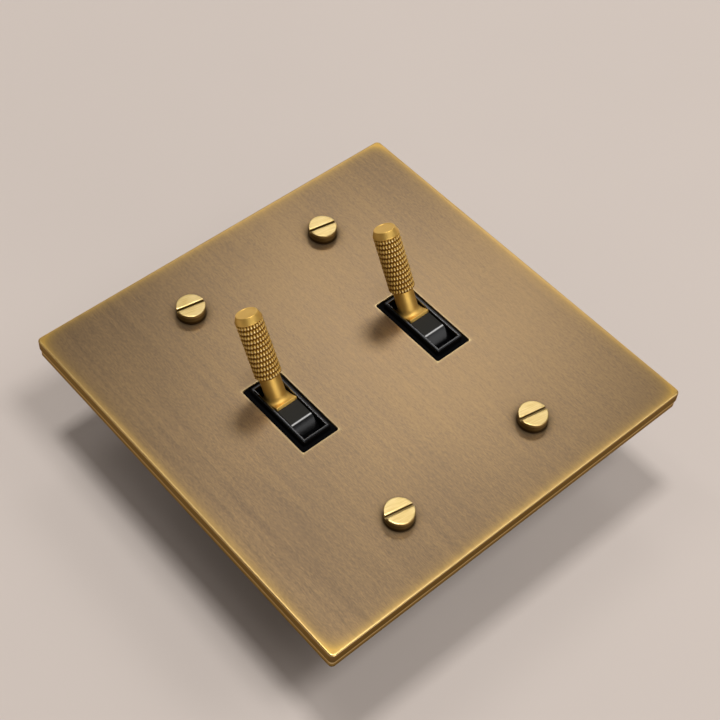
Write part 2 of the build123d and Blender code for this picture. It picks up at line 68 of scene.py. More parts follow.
mm = 0.001
joints = {joint["name"]: joint for joint in frame["joints"]}
gangs = ("left", "right")
leverUp = Vector(joints["left_plunger_slide"]["axis"])  # the way out along a lever at rest
leverLean = leverUp.to_track_quat("Z", "Y")
pivots = {gang: Vector(joints[gang + "_toggle_swing"]["pos_m"]) for gang in gangs}
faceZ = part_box("front_plate")[1].z / mm
gangX = pivots["right"].x / mm
slotTurn = -11  # degrees, of the slots of the plate screws
pinpoint = 0.01  # mm, radius of the ring in the middle of a round end
print("frame loaded:", len(frame["nodes"]), "pieces")


class Wire:  # a socket that can be used in sums, each of which adds a Math node
    def __init__(self, bench, socket):
        self.bench = bench
        self.socket = socket

    def math(self, operation, *values):
        return self.bench.node("ShaderNodeMath", {"operation": operation}, dict(enumerate(values)))[0]

    def __add__(self, other):
        return self.math("ADD", self, other)

    def __sub__(self, other):
        return self.math("SUBTRACT", self, other)

    def __rsub__(self, other):
        return self.math("SUBTRACT", other, self)

    def __mul__(self, other):
        return self.math("MULTIPLY", self, other)

    def __truediv__(self, other):
        return self.math("DIVIDE", self, other)

    def __pow__(self, other):
        return self.math("POWER", self, other)

    def __rpow__(self, other):
        return self.math("POWER", other, self)

    def __gt__(self, other):
        return self.math("GREATER_THAN", self, other)

    def __lt__(self, other):
        return self.math("LESS_THAN", self, other)

    def __abs__(self):
        return self.math("ABSOLUTE", self)

    def least(self, other):
        return self.math("MINIMUM", self, other)

    def most(self, other):
        return self.math("MAXIMUM", self, other)

    def capped(self, low, high):
        return self.most(low).least(high)

    # rises from 0 at the start to 1 at the end
    def ramp(self, start, end):
        return ((self - start) / (end - start)).capped(0, 1)

    # 1 where the value is 0, dying away over about this length
    def fading(self, length):
        return math.e ** (self * (-1 / length))

    __radd__ = __add__
    __rmul__ = __mul__


class Bench:  # makes the nodes of one tree
    def __init__(self, tree):
        self.tree = tree

    def node(self, kind, settings=None, inputs=None):
        made = self.tree.nodes.new(kind)
        for name, value in (settings or {}).items():
            setattr(made, name, value)
        for key, value in (inputs or {}).items():
            if isinstance(value, Wire):
                self.tree.links.new(value.socket, made.inputs[key])
            else:
                made.inputs[key].default_value = value
        return [Wire(self, socket) for socket in made.outputs]

    def mixed(self, share, first, second):
        first, second = ((*c, 1) if isinstance(c, tuple) else c for c in (first, second))
        return self.node("ShaderNodeMix", {"data_type": "RGBA"}, {0: share, 6: first, 7: second})[2]

    # the three parts of a place, in mm
    def axes(self, place):
        return [axis / mm for axis in self.node("ShaderNodeSeparateXYZ", {}, {"Vector": place})]

    # noise from -0.5 to 0.5 with blotches of about these sizes in mm, along axes turned by these angles
    def noise(self, place, sizes, detail=2.0, turn=(0, 0, 0)):
        turned = self.node("ShaderNodeMapping", {"vector_type": "TEXTURE"}, {
            "Vector": place,
            "Rotation": turn,
            "Scale": tuple(size * mm for size in sizes),
        })[0]
        inputs = {"Vector": turned, "Scale": 1.0, "Detail": detail}
        return self.node("ShaderNodeTexNoise", {}, inputs)[0] - 0.5

    def bumped(self, height, depth):
        return self.node("ShaderNodeBump", {}, {"Height": height, "Distance": depth * mm})[0]


def startFinish(name):
    material = bpy.data.materials.new(name)
    material.use_nodes = True
    material.node_tree.nodes.clear()
    bench = Bench(material.node_tree)
    place = bench.node("ShaderNodeTexCoord")[3]
    return material, bench, place


def endFinish(bench, sockets):
    shader = bench.node("ShaderNodeBsdfPrincipled", {}, sockets)[0]
    bench.node("ShaderNodeOutputMaterial", {}, {"Surface": shader})


# Aged brass of the plates: brushed up the wall, brown in the middle, burnished gold along the edges; in mm
plateFinish = {
    "brown": (0.236, 0.165, 0.103),
    "tan": (0.378, 0.253, 0.130),
    "gold": (0.78, 0.48, 0.11),
    "bright": (0.96, 0.74, 0.36),  # painted highlight along the rounded rim and round the openings
    "sideTop": (0.21, 0.135, 0.07),
    "sideBottom": (0.1, 0.068, 0.038),
    "shade": (0.03, 0.018, 0.007),  # painted shade round the screw heads and under the plate
    "tint": (0.75, 0.58, 0.38),  # of glancing reflections
    "cloud": (34, 46, 20),
    "cloudShare": 0.9,
    "streak": (1.1, 34.0, 1.0),
    "streakShare": 0.8,
    "streakRough": 0.06,
    "grain": (0.18, 1.0, 0.5),
    "grainShare": 2.1,
    "grainRough": 0.05,
    "grainDepth": 0.004,
    "roughness": 0.31,
    "cornerRadius": 1.4,
    "cornerPower": 26,  # higher lets the gold follow the corners more sharply
    "goldFade": 1.1,
    "goldShare": 0.9,
    "goldStreaks": 0.4,
    "lineFade": 0.3,
    "lineShare": 0.95,
    "opening": (11.6, 24.6),
    "openingPinch": 1.4,  # how much thinner the painted highlight line is round the openings
    "screwRadius": 4.0,
    "shadeFade": 0.9,
    "shadeShare": 0.85,
    "shadeRough": 0.2,
    "topDepth": 0.38,  # below the face, where the side begins
    "seam": (0.97, 0.80, 0.48),  # painted highlight, a pale line along the side
    "seamDrop": 0.72,  # below the top
    "seamFade": 1 / 6,
    "seamShare": 0.0,
    "underInset": (1 / 6, 1 / 2),  # from the rim, where the painted shade of the underside begins and is full
    "underHeight": (0.3, 0.1),  # the same up the side
}


def agedBrass(name, node, spec):
    material, bench, place = startFinish(name)
    low, top = (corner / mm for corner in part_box(node))
    half = top.x
    x, y, z = bench.axes(place)
    cloud = bench.noise(place, spec["cloud"], 3.0)
    streak = bench.noise(place, spec["streak"])
    grain = bench.noise(place, spec["grain"], 3.0)
    # how far a place is from the edge, the rounded rim, the openings and the screw heads
    power = spec["cornerPower"]
    reach = ((abs(x) / half) ** power + (abs(y) / half) ** power) ** (1 / power)
    fromEdge = (half - reach * half).most(0)
    pastX, pastY = (abs(axis) - (half - spec["cornerRadius"]) for axis in (x, y))
    pastCorner = (pastX.most(0) ** 2 + pastY.most(0) ** 2) ** 0.5
    fromRim = (spec["cornerRadius"] - pastCorner - pastX.most(pastY).least(0)).most(0)
    openWidth, openLength = spec["opening"]
    fromOpening = (abs(abs(x) - gangX) - openWidth / 2).most(abs(y) - openLength / 2).most(0)
    screwX, screwY = (end / mm - spec["screwRadius"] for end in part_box("plate_screws")[1].xy)
    fromMiddle = ((abs(x) - screwX) ** 2 + (abs(y) - screwY) ** 2) ** 0.5
    fromScrew = (fromMiddle - spec["screwRadius"]).most(0)
    # the face, from its mottled brown to the painted highlight line round it
    gold = fromEdge.fading(spec["goldFade"]) * (spec["goldShare"] + streak * spec["goldStreaks"])
    line = fromRim.least(fromOpening * spec["openingPinch"]).fading(spec["lineFade"]) * spec["lineShare"]
    # painted shade: a dark ring round each screw head, like a contact shadow
    shade = fromScrew.fading(spec["shadeFade"]) * spec["shadeShare"]
    tone = 0.5 + cloud * spec["cloudShare"] + streak * spec["streakShare"] + grain * spec["grainShare"]
    face = bench.mixed(tone.capped(0, 1), spec["brown"], spec["tan"])
    face = bench.mixed(shade, face, spec["shade"])
    face = bench.mixed(gold.capped(0, 1), face, spec["gold"])
    face = bench.mixed(line, face, spec["bright"])
    # the side, with painted shade that darkens it towards the bottom, and the underside, with painted
    # shade
    # painted highlight: a pale line along the side just below its top
    seam = abs(z - (top.z - spec["seamDrop"])).fading(spec["seamFade"]) * spec["seamShare"]
    foot = z.ramp(*(low.z + height for height in spec["underHeight"]))
    side = bench.mixed(z.ramp(top.z, low.z), spec["sideTop"], spec["sideBottom"])
    side = bench.mixed(seam, side, spec["seam"])
    side = bench.mixed(fromRim.ramp(*spec["underInset"]).most(foot), side, spec["shade"])
    onFace = z.ramp(top.z - spec["topDepth"], top.z - spec["topDepth"] / 2)
    rough = spec["roughness"] + grain * spec["grainRough"] + streak * spec["streakRough"]
    endFinish(bench, {
        "Base Color": bench.mixed(onFace, side, face),
        "Specular Tint": (*spec["tint"], 1),
        "Metallic": 1.0,
        "Roughness": (rough + shade * spec["shadeRough"]).capped(0.2, 0.8),
        "Normal": bench.bumped(grain, spec["grainDepth"]),
    })
    return material


# Satin brass of the levers and the plate screws: fine tool marks, painted shade in the cuts
leverFinish = {
    "gold": (0.76, 0.47, 0.105),
    "pale": (0.88, 0.59, 0.17),
    "dot": (1.0, 0.83, 0.45),  # painted highlight on the tops of the knurl, partly wear
    # painted shade in the cuts of the knurl and the cove
    "creviceShade": (0.22, 0.10, 0.013),
    "cloud": (5, 5, 5),
    "marks": (14, 14, 0.10),
    "markTurn": leverLean.to_euler(),
    "markShare": 0.7,
    "markRough": 0.12,
    "markDepth": 0.002,
    "creviceRough": 0.2,
    "dotGloss": 0.24,
    "roughness": 0.48,
}
screwFinish = {
    **leverFinish,
    "gold": (0.71, 0.50, 0.17),
    "pale": (0.94, 0.74, 0.36),
    # painted shade in the slots and on the sides of the screw heads
    "creviceShade": (0.06, 0.03, 0.006),
    "marks": (5, 0.3, 0.3),
    "markTurn": (0, 0, math.radians(slotTurn)),
    "markShare": 1.6,
    "roughness": 0.34,
}


def satinBrass(name, spec):
    material, bench, place = startFinish(name)
    crevice = bench.node("ShaderNodeAttribute", {"attribute_name": "crevice"})[2]
    dot = bench.node("ShaderNodeAttribute", {"attribute_name": "dot"})[2]
    marks = bench.noise(place, spec["marks"], 3.0, spec["markTurn"])
    cloud = bench.noise(place, spec["cloud"])
    tone = (0.5 + cloud + marks * spec["markShare"]).capped(0, 1)
    metal = bench.mixed(dot, bench.mixed(tone, spec["gold"], spec["pale"]), spec["dot"])
    rough = spec["roughness"] + marks * spec["markRough"] + crevice * spec["creviceRough"]
    endFinish(bench, {
        # painted shade where the crevice attribute is set
        "Base Color": bench.mixed(crevice.capped(0, 1), metal, spec["creviceShade"]),
        "Metallic": 1.0,
        "Roughness": (rough - dot * spec["dotGloss"]).capped(0.1, 0.8),
        "Normal": bench.bumped(marks, spec["markDepth"]),
    })
    return material


# Mouldings and small metal: darkest and lightest tone, gloss, and the size and depth of the grain in mm
smallFinishes = {
    "housingBlack": {"dark": (0.016, 0.016, 0.017), "light": (0.036, 0.036, 0.038), "roughness": 0.52,
                     "grain": 0.35, "depth": 0.02, "metallic": 0.0, "specular": 0.4},
    "plungerIvory": {"dark": (0.52, 0.49, 0.42), "light": (0.66, 0.64, 0.57), "roughness": 0.38,
                     "grain": 0.8, "depth": 0.004, "metallic": 0.0, "specular": 0.5},
    "stripBrass": {"dark": (0.52, 0.36, 0.15), "light": (0.74, 0.55, 0.26), "roughness": 0.32,
                   "grain": 0.4, "depth": 0.004, "metallic": 1.0, "specular": 0.5},
    "zincSteel": {"dark": (0.46, 0.46, 0.47), "light": (0.68, 0.68, 0.69), "roughness": 0.30,
                  "grain": 0.3, "depth": 0.003, "metallic": 1.0, "specular": 0.5},
    "contactSilver": {"dark": (0.62, 0.61, 0.59), "light": (0.82, 0.81, 0.79), "roughness": 0.26,
                      "grain": 0.3, "depth": 0.002, "metallic": 1.0, "specular": 0.5},
}
# what the grain and the wider clouds do in them
smallShares = {
    "cloudScale": 14, "grainTone": 0.6, "cloudTone": 0.9, "grainRough": 0.08, "cloudRough": 0.14,
}


def smallFinish(name):
    spec = {**smallShares, **smallFinishes[name]}
    material, bench, place = startFinish(name)
    grain = bench.noise(place, (spec["grain"],) * 3, 3.0)
    cloud = bench.noise(place, (spec["grain"] * spec["cloudScale"],) * 3)
    tone = (0.5 + grain * spec["grainTone"] + cloud * spec["cloudTone"]).capped(0, 1)
    rough = spec["roughness"] + cloud * spec["cloudRough"] + grain * spec["grainRough"]
    endFinish(bench, {
        "Base Color": bench.mixed(tone, spec["dark"], spec["light"]),
        "Metallic": spec["metallic"],
        "Roughness": rough.capped(0.05, 0.9),
        "Specular IOR Level": spec["specular"],
        "Normal": bench.bumped(grain, spec["depth"]),
    })
    return material


# Black mouldings in the plate: dull where flat, glossy on the bezel's rim and the cradle's drum; in mm
blackFinish = {
    "dark": (0.0012, 0.0012, 0.0014),
    "light": (0.003, 0.003, 0.0034),
    "dull": 0.6,
    "glossy": 0.17,
}
bezelFinish = {
    **blackFinish,
    "rim": (0.013, 0.013, 0.0135),
    # painted highlight on the rim's top round the slot
    "rimGlint": (0.2, 0.2, 0.2),
    "rimHeight": (0.9, 1.15),  # above the face, where the gloss of the rim begins and is full
    "slot": (7.0, 19.8),  # inside the rim
    "rimLine": 0.2,  # from the slot to the painted highlight line round it
    "rimFade": 0.15,
    "specular": 0.02,
    "grain": (0.3, 0.3, 0.3),
    "grainRough": 0.1,
    "grainDepth": 0.001,
}
cradleFinish = {
    **blackFinish,
    # the flats' dark grey: partly painted reflection
    "facet": (0.019, 0.018, 0.015),
    "facetMetal": 0.4,
    # painted highlight along the ridge between the flat and the drum
    "glint": (0.85, 0.85, 0.84),
    "drum": (11.9, 12.0),  # from the pivot, where the gloss of the drum begins and is full
    "ridge": (4.58, 11.2),  # beside and above the pivot, with the flat level
    "ridgeFade": 0.17,
    "specular": 0.22,
    "grain": (0.25, 0.25, 0.25),
    "grainRough": 0.15,
    "grainDepth": 0.0015,
}


def bezelBlack(spec):
    material, bench, place = startFinish("bezelBlack")
    x, y, z = bench.axes(place)
    width, length = spec["slot"]
    fromLine = (abs(abs(x) - gangX) - width / 2).most(abs(y) - length / 2) - spec["rimLine"]
    # painted highlight: a pale line along the rim round the slot
    glint = (fromLine * fromLine).fading(spec["rimFade"] ** 2)
    onRim = z.ramp(*(faceZ + height for height in spec["rimHeight"]))
    grain = bench.noise(place, spec["grain"], 3.0)
    black = bench.mixed(grain + 0.5, spec["dark"], spec["light"])
    rough = spec["dull"] + onRim * (spec["glossy"] - spec["dull"]) + grain * spec["grainRough"]
    endFinish(bench, {
        "Base Color": bench.mixed(onRim, black, bench.mixed(glint, spec["rim"], spec["rimGlint"])),
        "Metallic": onRim,
        "Roughness": rough.capped(0.08, 0.9),
        "Specular IOR Level": spec["specular"],
        "Normal": bench.bumped(grain, spec["grainDepth"]),
    })
    return material


def cradleBlack(spec):
    material, bench, place = startFinish("cradleBlack")
    y, z = bench.axes(place)[1:]
    height = z - pivots["left"].z / mm
    across = abs(y * leverUp.z - height * leverUp.y)
    along = y * leverUp.y + height * leverUp.z
    beside, above = spec["ridge"]
    ridgeAcross = beside * leverUp.z + above * leverUp.y
    ridgeAlong = above * leverUp.z - beside * leverUp.y
    # painted highlight along each ridge
    ridge = ((across - ridgeAcross) ** 2 + (along - ridgeAlong) ** 2).fading(spec["ridgeFade"] ** 2)
    onDrum = ((y * y + height * height) ** 0.5).ramp(*spec["drum"])
    grain = bench.noise(place, spec["grain"], 3.0)
    black = bench.mixed(onDrum, spec["facet"], bench.mixed(grain + 0.5, spec["dark"], spec["light"]))
    rough = spec["dull"] + onDrum * (spec["glossy"] - spec["dull"]) + grain * spec["grainRough"]
    endFinish(bench, {
        "Base Color": bench.mixed(ridge, black, spec["glint"]),
        "Metallic": (1 - onDrum).most(ridge) * spec["facetMetal"],
        "Roughness": rough.capped(0.08, 0.9),
        "Specular IOR Level": spec["specular"],
        "Normal": bench.bumped(grain, spec["grainDepth"]),
    })
    return material


finishes = {name: smallFinish(name) for name in smallFinishes}
finishes["bezelBlack"] = bezelBlack(bezelFinish)
finishes["cradleBlack"] = cradleBlack(cradleFinish)
finishes["frontBrass"] = agedBrass("frontBrass", "front_plate", plateFinish)
finishes["backBrass"] = agedBrass("backBrass", "back_plate", {
    **plateFinish,
    "sideTop": (0.29, 0.195, 0.078),
    "sideBottom": (0.21, 0.142, 0.055),
    # painted highlight line along the back plate's side
    "seamShare": 0.95,
    "topDepth": 0.1,
})
finishes["leverBrass"] = satinBrass("leverBrass", leverFinish)
finishes["screwBrass"] = satinBrass("screwBrass", screwFinish)
print("finishes made:", len(finishes))


class Draft:  # points in mm and faces of a piece in the making
    def __init__(self):
        self.points = []
        self.faces = []
        self.crevices = []  # how much painted shade each face has

    def ring(self, points):
        start = len(self.points)
        self.points.extend(points)
        return list(range(start, len(self.points)))

    def face(self, corners, crevice=0.0):
        self.faces.append(tuple(corners))
        self.crevices.append(crevice)

    def wall(self, lower, upper, crevice=lambda index: 0.0):
        for i in range(len(lower)):
            j = (i + 1) % len(lower)
            self.face((lower[i], lower[j], upper[j], upper[i]), crevice(i))

    # walls from ring to ring, with how dark some of them are
    def walls(self, rings, crevices=None):
        loops = [self.ring(points) for points in rings]
        for level, (lower, upper) in enumerate(zip(loops, loops[1:])):
            dark = (crevices or {}).get(level, 0.0)
            self.wall(lower, upper, lambda index: dark)
        return loops

    def piece(self, name, sharpAngle=35):
        mesh = bpy.data.meshes.new(name)
        mesh.from_pydata([Vector(point) * mm for point in self.points], [], self.faces)
        mesh.attributes.new("crevice", "FLOAT", "FACE").data.foreach_set("value", self.crevices)
        shape = bmesh.new()
        shape.from_mesh(mesh)
        weld = 0.001 * mm
        bmesh.ops.remove_doubles(shape, verts=shape.verts, dist=weld)
        bmesh.ops.dissolve_degenerate(shape, edges=shape.edges, dist=weld)
        bmesh.ops.recalc_face_normals(shape, faces=shape.faces)
        shape.to_mesh(mesh)
        shape.free()
        mesh.shade_smooth()
        mesh.set_sharp_from_angle(angle=math.radians(sharpAngle))
        made = bpy.data.objects.new(name, mesh)
        bpy.context.scene.collection.objects.link(made)
        return made


def circle(radius, height, turns):
    return [(radius * math.cos(turn), radius * math.sin(turn), height) for turn in turns]


def evenTurns(count):
    return [2 * math.pi * i / count for i in range(count)]


# angles from 0 to a right angle, for rounded edges
def quarterTurns(steps):
    return [math.pi / 2 * i / steps for i in range(steps + 1)]


def geometryTree(name, inputs):
    tree = bpy.data.node_groups.new(name, "GeometryNodeTree")
    tree.interface.new_socket("Geometry", in_out="INPUT", socket_type="NodeSocketGeometry")
    for label, kind in inputs.items():
        tree.interface.new_socket(label, in_out="INPUT", socket_type="NodeSocket" + kind)
    tree.interface.new_socket("Geometry", in_out="OUTPUT", socket_type="NodeSocketGeometry")
    bench = Bench(tree)
    wires = bench.node("NodeGroupInput")
    return bench, dict(zip(["Geometry", *inputs], wires))


def endTree(bench, geometry, finish):
    real = bench.node("GeometryNodeRealizeInstances", {}, {"Geometry": geometry})[0]
    painted = bench.node("GeometryNodeSetMaterial", {}, {"Geometry": real, "Material": finish})[0]
    bench.node("NodeGroupOutput", {}, {"Geometry": painted})
    return bench.tree


# the parts of each point's place and its distance from the Z axis, which is kept above 0
def roundPlace(bench):
    position = bench.node("GeometryNodeInputPosition")[0]
    x, y, z = bench.node("ShaderNodeSeparateXYZ", {}, {"Vector": position})
    return x, y, z, x.math("SQRT", x * x + y * y + 1e-12)


# moves each point away from the Z axis by a share of its distance
def spreadOut(bench, geometry, x, y, share):
    offset = bench.node("ShaderNodeCombineXYZ", {}, {"X": x * share, "Y": y * share})[0]
    return bench.node("GeometryNodeSetPosition", {}, {"Geometry": geometry, "Offset": offset})[0]


# runs a tree on a piece and leaves the result as its plain mesh
def bakeTree(piece, tree, values):
    modifier = piece.modifiers.new(tree.name, "NODES")
    modifier.node_group = tree
    for socket in tree.interface.items_tree:
        if socket.in_out == "INPUT" and socket.name in values:
            modifier[socket.identifier] = values[socket.name]
    graph = bpy.context.evaluated_depsgraph_get()
    mesh = bpy.data.meshes.new_from_object(
        piece.evaluated_get(graph), preserve_all_data_layers=True, depsgraph=graph
    )
    piece.modifiers.remove(modifier)
    piece.data = mesh


def mount(piece, body, slot, *nodes):
    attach(piece, body)
    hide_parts(*nodes)
    print("made:", piece.name, len(piece.data.polygons), "faces")


# how far a node reaches along its lever, from the pivot, in mm
def alongLever(gang, node):
    heights = [(v.co - pivots[gang]).dot(leverUp) / mm for v in frame["nodes"][node].data.vertices]
    return min(heights), max(heights)


def leverPlace(gang):
    return Matrix.Translation(pivots[gang]) @ leverLean.to_matrix().to_4x4()


# Lever: sizes in mm, from its cap down to the stud in the cradle
lever = {
    "capTopRadius": 2.95,
    "capBaseRadius": 3.6,
    "capBand": 0.5,
    "capHeight": 2.1,
    "capRound": 0.15,
    "capSteps": 3,
    "capRim": 0.5,
    "capDish": 0.06,
    "teeth": 26,
    "stepsPerTooth": 10,
    "rows": 12,
    "stepsPerRow": 10,
    "pitch": 1.39,
    "groove": 0.3,
    "beadSize": (0.50, 0.47),  # half sizes of a bead, in teeth and rows
    "beadPower": 0.6,  # lower makes it fuller
    "beadShade": (13 / 15, 0.2),  # heights of a bead where the painted shade begins and is full
    "beadDot": (5 / 6, 1),  # the same for its painted highlight on the top, partly wear
    "knurlRadius": 3.65,
    "knurlDepth": 0.4,
    "neckRadius": 2.8,
    "neckLength": 7.3,
    "neckMargins": (0.1, 0.05),  # from the ends of the neck to the rings that keep it straight
    "neckCove": 1.5,
    "coveSteps": 12,
    "coveShade": 0.45,  # painted shade in the hollow of the cove, how dark
    "coveSpread": 0.8,  # how far that reaches, in coves
    "flangeWidth": 6.4,
    "flangeLength": 8.7,
    "flangeThickness": 1.0,
    "flangeRound": 0.12,
    "flangeSteps": 4,
    "studRadius": 1.7,
    "flatStart": 1.3,  # roundings from an edge to the ring that keeps the face beside it flat
}


def leverLevels(gang):
    low, top = alongLever(gang, gang + "_lever")
    knurlEnd = top - lever["capHeight"]
    knurlStart = knurlEnd - lever["rows"] * lever["pitch"] + lever["groove"]
    flangeTop = knurlStart - lever["neckLength"]
    seat = flangeTop - lever["flangeThickness"]
    return {
        "low": low, "seat": seat, "flangeTop": flangeTop,
        "knurlStart": knurlStart, "knurlEnd": knurlEnd, "top": top,
    }


# the flange's turns are spread so that one falls on each corner
def flangeTurns(turns):
    corner = math.atan2(lever["flangeLength"], lever["flangeWidth"])
    quarter = math.pi / 2
    nearest = min(turns, key=lambda turn: abs(turn - corner))
    spread = []
    for turn in turns:
        side, rest = divmod(turn, quarter)
        rest = rest if side % 2 == 0 else quarter - rest
        if rest <= nearest:
            moved = rest * corner / nearest
        else:
            moved = quarter - (quarter - rest) * (quarter - corner) / (quarter - nearest)
        spread.append(side * quarter + (moved if side % 2 == 0 else quarter - moved))
    return spread


# the lever before its knurl is rolled, along +Z with the pivot at the origin
def leverBlank(gang):
    levels = leverLevels(gang)
    turns = evenTurns(lever["teeth"] * lever["stepsPerTooth"])
    squareTurns = flangeTurns(turns)
    halfWidth, halfLength = lever["flangeWidth"] / 2, lever["flangeLength"] / 2
    cove, edge = lever["neckCove"], lever["flangeRound"]
    coveReach = lever["neckRadius"] + cove

    def coveHeight(radius):
        inwards = max(coveReach - radius, 0)
        return levels["flangeTop"] + cove - math.sqrt(max(cove**2 - inwards**2, 0))

    # outline of the flange, kept within a radius where the neck flares out of it
    def flangeRing(inset, height, radius=math.inf):
        ring = []
        for turn in squareTurns:
            across, along = abs(math.cos(turn)), abs(math.sin(turn))
            reach = min(halfWidth / max(across, 1e-9), halfLength / max(along, 1e-9)) - inset
            reach = min(reach, radius)
            ring.append((reach * math.cos(turn), reach * math.sin(turn), height(reach)))
        return ring

    rings = [circle(radius, levels["low"], turns) for radius in (pinpoint, lever["studRadius"])]
    rings.append(circle(lever["studRadius"], levels["seat"], turns))
    rings.append(flangeRing(edge, lambda reach: levels["seat"]))
    rings.append(flangeRing(0, lambda reach: levels["seat"] + edge))
    for lean in quarterTurns(lever["flangeSteps"]):
        drop = edge * (1 - math.sin(lean))
        rings.append(flangeRing(edge * (1 - math.cos(lean)), lambda reach: coveHeight(reach) - drop))
    for lean in quarterTurns(lever["coveSteps"]):
        rings.append(flangeRing(edge * lever["flatStart"], coveHeight, coveReach - cove * math.sin(lean)))
    neckBase, neckTop = levels["flangeTop"] + cove, levels["knurlStart"]
    above, below = lever["neckMargins"]
    for height in (neckBase + above, (neckBase + neckTop) / 2, neckTop - below, neckTop):
        rings.append(circle(lever["neckRadius"], height, turns))
    rootRadius = lever["knurlRadius"] - lever["knurlDepth"]
    steps = lever["rows"] * lever["stepsPerRow"]
    for step in range(steps + 1):
        height = levels["knurlStart"] + (levels["knurlEnd"] - levels["knurlStart"]) * step / steps
        rings.append(circle(rootRadius, height, turns))
    base, tip, bend = lever["capBaseRadius"], lever["capTopRadius"], lever["capRound"]
    rings.append(circle(base - bend, levels["knurlEnd"], turns))
    rings.append(circle(base, levels["knurlEnd"] + bend, turns))
    rings.append(circle(base, levels["knurlEnd"] + lever["capBand"], turns))
    for lean in quarterTurns(lever["capSteps"]):
        height = levels["top"] - bend * (1 - math.sin(lean))
        rings.append(circle(tip - bend * (1 - math.cos(lean)), height, turns))
    rings.append(circle(tip - bend * lever["flatStart"], levels["top"], turns))
    rim, dish = lever["capRim"], lever["capDish"]
    rings.append(circle(tip - rim, levels["top"], turns))
    rings.append(circle(tip - rim - dish, levels["top"] - dish, turns))
    rings.append(circle(pinpoint, levels["top"] - dish, turns))
    draft = Draft()
    loops = draft.walls(rings)
    draft.face(reversed(loops[0]))
    draft.face(loops[-1])
    return draft.piece(gang + "_turned_lever", sharpAngle=40), levels


# rolls the knurl: rows of beads on the blank, each row turned by half a bead
def knurlTree():
    bench, sizes = geometryTree("knurl", {
        "Start": "Float", "End": "Float", "Rows": "Float", "Teeth": "Float",
        "Bead Width": "Float", "Bead Height": "Float", "Depth": "Float",
        "Cove Middle": "Float", "Cove Reach": "Float", "Cove Shade": "Float", "Finish": "Material",
    })
    x, y, z, radius = roundPlace(bench)
    climb = (z - sizes["Start"]) / (sizes["End"] - sizes["Start"]) * sizes["Rows"]
    row = x.math("FLOOR", climb.capped(0.001, sizes["Rows"] - 0.001))  # no row past the ends
    turn = x.math("ARCTAN2", y, x) * (0.5 / math.pi) * sizes["Teeth"]
    beside = abs(x.math("FRACT", turn - row * 0.5 + 0.5) - 0.5)
    above = climb - row - 0.5
    fall = (beside / sizes["Bead Width"]) ** 2 + (abs(above) / sizes["Bead Height"]) ** 2
    bead = (1 - fall).capped(0, 1) ** lever["beadPower"]
    moved = spreadOut(bench, sizes["Geometry"], x, y, bead * sizes["Depth"] / radius)
    onGrip = (climb > 0.01) * (climb < sizes["Rows"] - 0.01)
    # painted shade in the cove's hollow and in the knurl's cuts
    hollow = (1 - abs(z - sizes["Cove Middle"]) / sizes["Cove Reach"]).capped(0, 1) * sizes["Cove Shade"]
    shares = {
        "crevice": onGrip * bead.ramp(*lever["beadShade"]) + hollow,
        # painted highlight on the bead tops, partly wear
        "dot": onGrip * bead.ramp(*lever["beadDot"]),
    }
    for name, value in shares.items():
        moved = bench.node(
            "GeometryNodeStoreNamedAttribute",
            {"data_type": "FLOAT", "domain": "POINT"},
            {"Geometry": moved, "Name": name, "Value": value},
        )[0]
    return endTree(bench, moved, sizes["Finish"])


knurl = knurlTree()
for gang in gangs:
    piece, levels = leverBlank(gang)
    bakeTree(piece, knurl, {
        "Start": levels["knurlStart"] * mm,
        "End": levels["knurlEnd"] * mm,
        "Rows": float(lever["rows"]),
        "Teeth": float(lever["teeth"]),
        "Bead Width": lever["beadSize"][0],
        "Bead Height": lever["beadSize"][1],
        "Depth": lever["knurlDepth"] * mm,
        "Cove Middle": (levels["flangeTop"] + lever["neckCove"] / 2) * mm,
        "Cove Reach": lever["neckCove"] * lever["coveSpread"] * mm,
        "Cove Shade": lever["coveShade"],
        "Finish": finishes["leverBrass"],
    })
    piece.data.transform(leverPlace(gang))
    mount(piece, gang + "_toggle", "satin_brass", gang + "_lever")


# Slotted screws: sizes in mm, with the underside of the head at z = 0
plateScrew = {
    "headRadius": 4.0, "headHeight": 3.2, "edge": 0.28,
    "slotWidth": 0.8, "slotDepth": 0.9, "slotTurn": slotTurn,
    "neckRadius": 1.95, "neckLength": 5.8, "shankRadius": 1.7, "pointChamfer": 0.5,
    "threadPitch": 0.8, "threadDepth": 0.3, "stepsPerThread": 6,
    "threadFlank": (5 / 6, 1 / 6),  # edge and floor of the cut, in half pitches from its middle
    "arcSteps": 18, "gapSteps": 3, "slotSteps": 4, "edgeSteps": 3,
    "flatStart": 1.2,  # roundings from the top edge to the ring that keeps the top flat
    "shadeStep": 0.4,  # share of the side below the slot where its shade changes
    "sideShades": (1.0, 0.95, 0.8),  # painted shade on the side of the head, from its foot to the slot
    # painted shade on the head's upper side, the slot's walls and the slot's floor
    "upperShade": 0.5, "slotWallShade": 0.9, "slotFloorShade": 0.72,
}
smallScrew = {
    **plateScrew,
    "headRadius": 2.75, "headHeight": 1.8, "edge": 0.3, "slotTurn": 0,
    "neckRadius": 1.5, "neckLength": 1.0, "shankRadius": 1.5, "pointChamfer": 0.2, "threadDepth": 0.0,
    "terminalShank": 4.2,
}


# one half of a slotted head, shrunk by an inset: the arc's points, then those along the slot
def halfHead(spec, inset, height, side):
    radius = spec["headRadius"] - inset
    away = spec["slotWidth"] / 2 + inset
    start = math.asin(away / radius)
    arc = [start + (math.pi - 2 * start) * i / spec["arcSteps"] for i in range(spec["arcSteps"] + 1)]
    points = [(side * radius * math.cos(turn), side * radius * math.sin(turn), height) for turn in arc]
    end = radius * math.cos(start)
    for i in range(1, spec["slotSteps"]):
        points.append((side * end * (2 * i / spec["slotSteps"] - 1), side * away, height))
    return points


